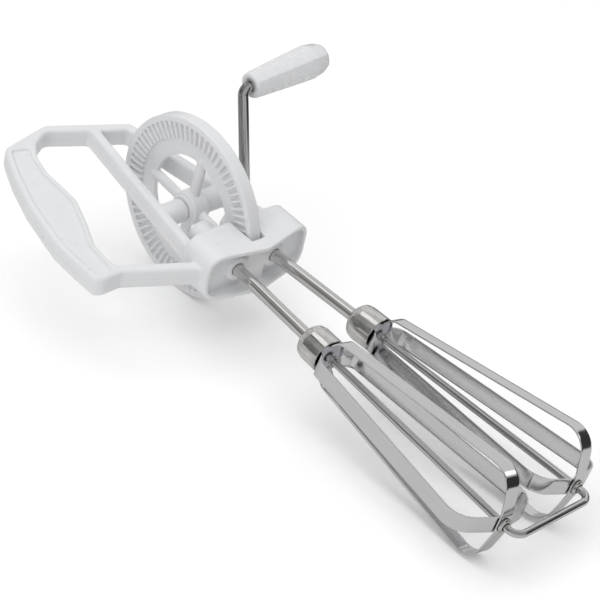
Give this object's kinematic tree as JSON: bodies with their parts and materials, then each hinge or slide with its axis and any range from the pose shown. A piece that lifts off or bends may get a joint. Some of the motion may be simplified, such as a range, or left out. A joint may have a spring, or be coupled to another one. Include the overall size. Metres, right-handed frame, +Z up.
{
  "type": "hand-cranked rotary beater",
  "caption": "Manual rotary beater: white frame with side grip, double-faced gear wheel, crank with knob, and a pair of interleaved strip-and-wire beaters.",
  "frame": {"origin": "centre of the bounding box on the surface that the tool lies on", "axes": "+X from the grip to the crank knob, +Y from the beaters to the handle, +Z up; the tool lies on its wheel's rim and on the beaters, so its own plane rises 5.7 degrees towards the handle"},
  "size_m": [0.15, 0.2942, 0.0965],
  "materials": {
    "white_plastic": "satin moulded",
    "pale_plug": "moulded",
    "polished_steel": "polished",
    "bright_ferrule": "bright drawn",
    "blade_steel": "cross-brushed strip",
    "wire_steel": "bright drawn"
  },
  "bodies": {
    "frame": {"frame": "white_plastic", "centre_wire": "wire_steel", "left_stop_clip": "polished_steel", "right_stop_clip": "polished_steel"},
    "crank": {"gear_wheel": "white_plastic", "crank_rod": "polished_steel", "knob_retainer": "polished_steel"},
    "knob": {"crank_knob": "white_plastic", "knob_sleeve": "polished_steel"},
    "left_beater": {"left_pinion": "white_plastic", "left_shaft": "polished_steel", "left_ferrule": "bright_ferrule", "left_plug": "pale_plug", "left_outer_loop": "blade_steel", "left_inner_loop": "blade_steel", "left_eyelet": "polished_steel"},
    "right_beater": {"right_pinion": "white_plastic", "right_shaft": "polished_steel", "right_ferrule": "bright_ferrule", "right_plug": "pale_plug", "right_outer_loop": "blade_steel", "right_inner_loop": "blade_steel", "right_eyelet": "polished_steel"}
  },
  "joints": [
    {"name": "crank_turn", "type": "hinge", "parent": "frame", "child": "crank", "pos_m": [-0.0027, 0.0749, 0.04169], "axis": [1, 0, 0], "continuous": true},
    {"name": "knob_spin", "type": "hinge", "parent": "crank", "child": "knob", "pos_m": [0.02815, 0.08326, 0.08652], "axis": [0.9983, 0.0106, 0.0566], "continuous": true},
    {"name": "left_beater_spin", "type": "hinge", "parent": "frame", "child": "left_beater", "pos_m": [-0.01032, 0.0749, 0.04169], "axis": [-0.0612, -0.9931, -0.0997], "continuous": true},
    {"name": "right_beater_spin", "type": "hinge", "parent": "frame", "child": "right_beater", "pos_m": [0.00492, 0.0749, 0.04169], "axis": [0.0612, -0.9931, -0.0997], "continuous": true}
  ],
  "couplings": [
    {"joint": "left_beater_spin", "follows": "crank_turn", "ratio": -4.6667},
    {"joint": "right_beater_spin", "follows": "crank_turn", "ratio": 4.6667}
  ]
}
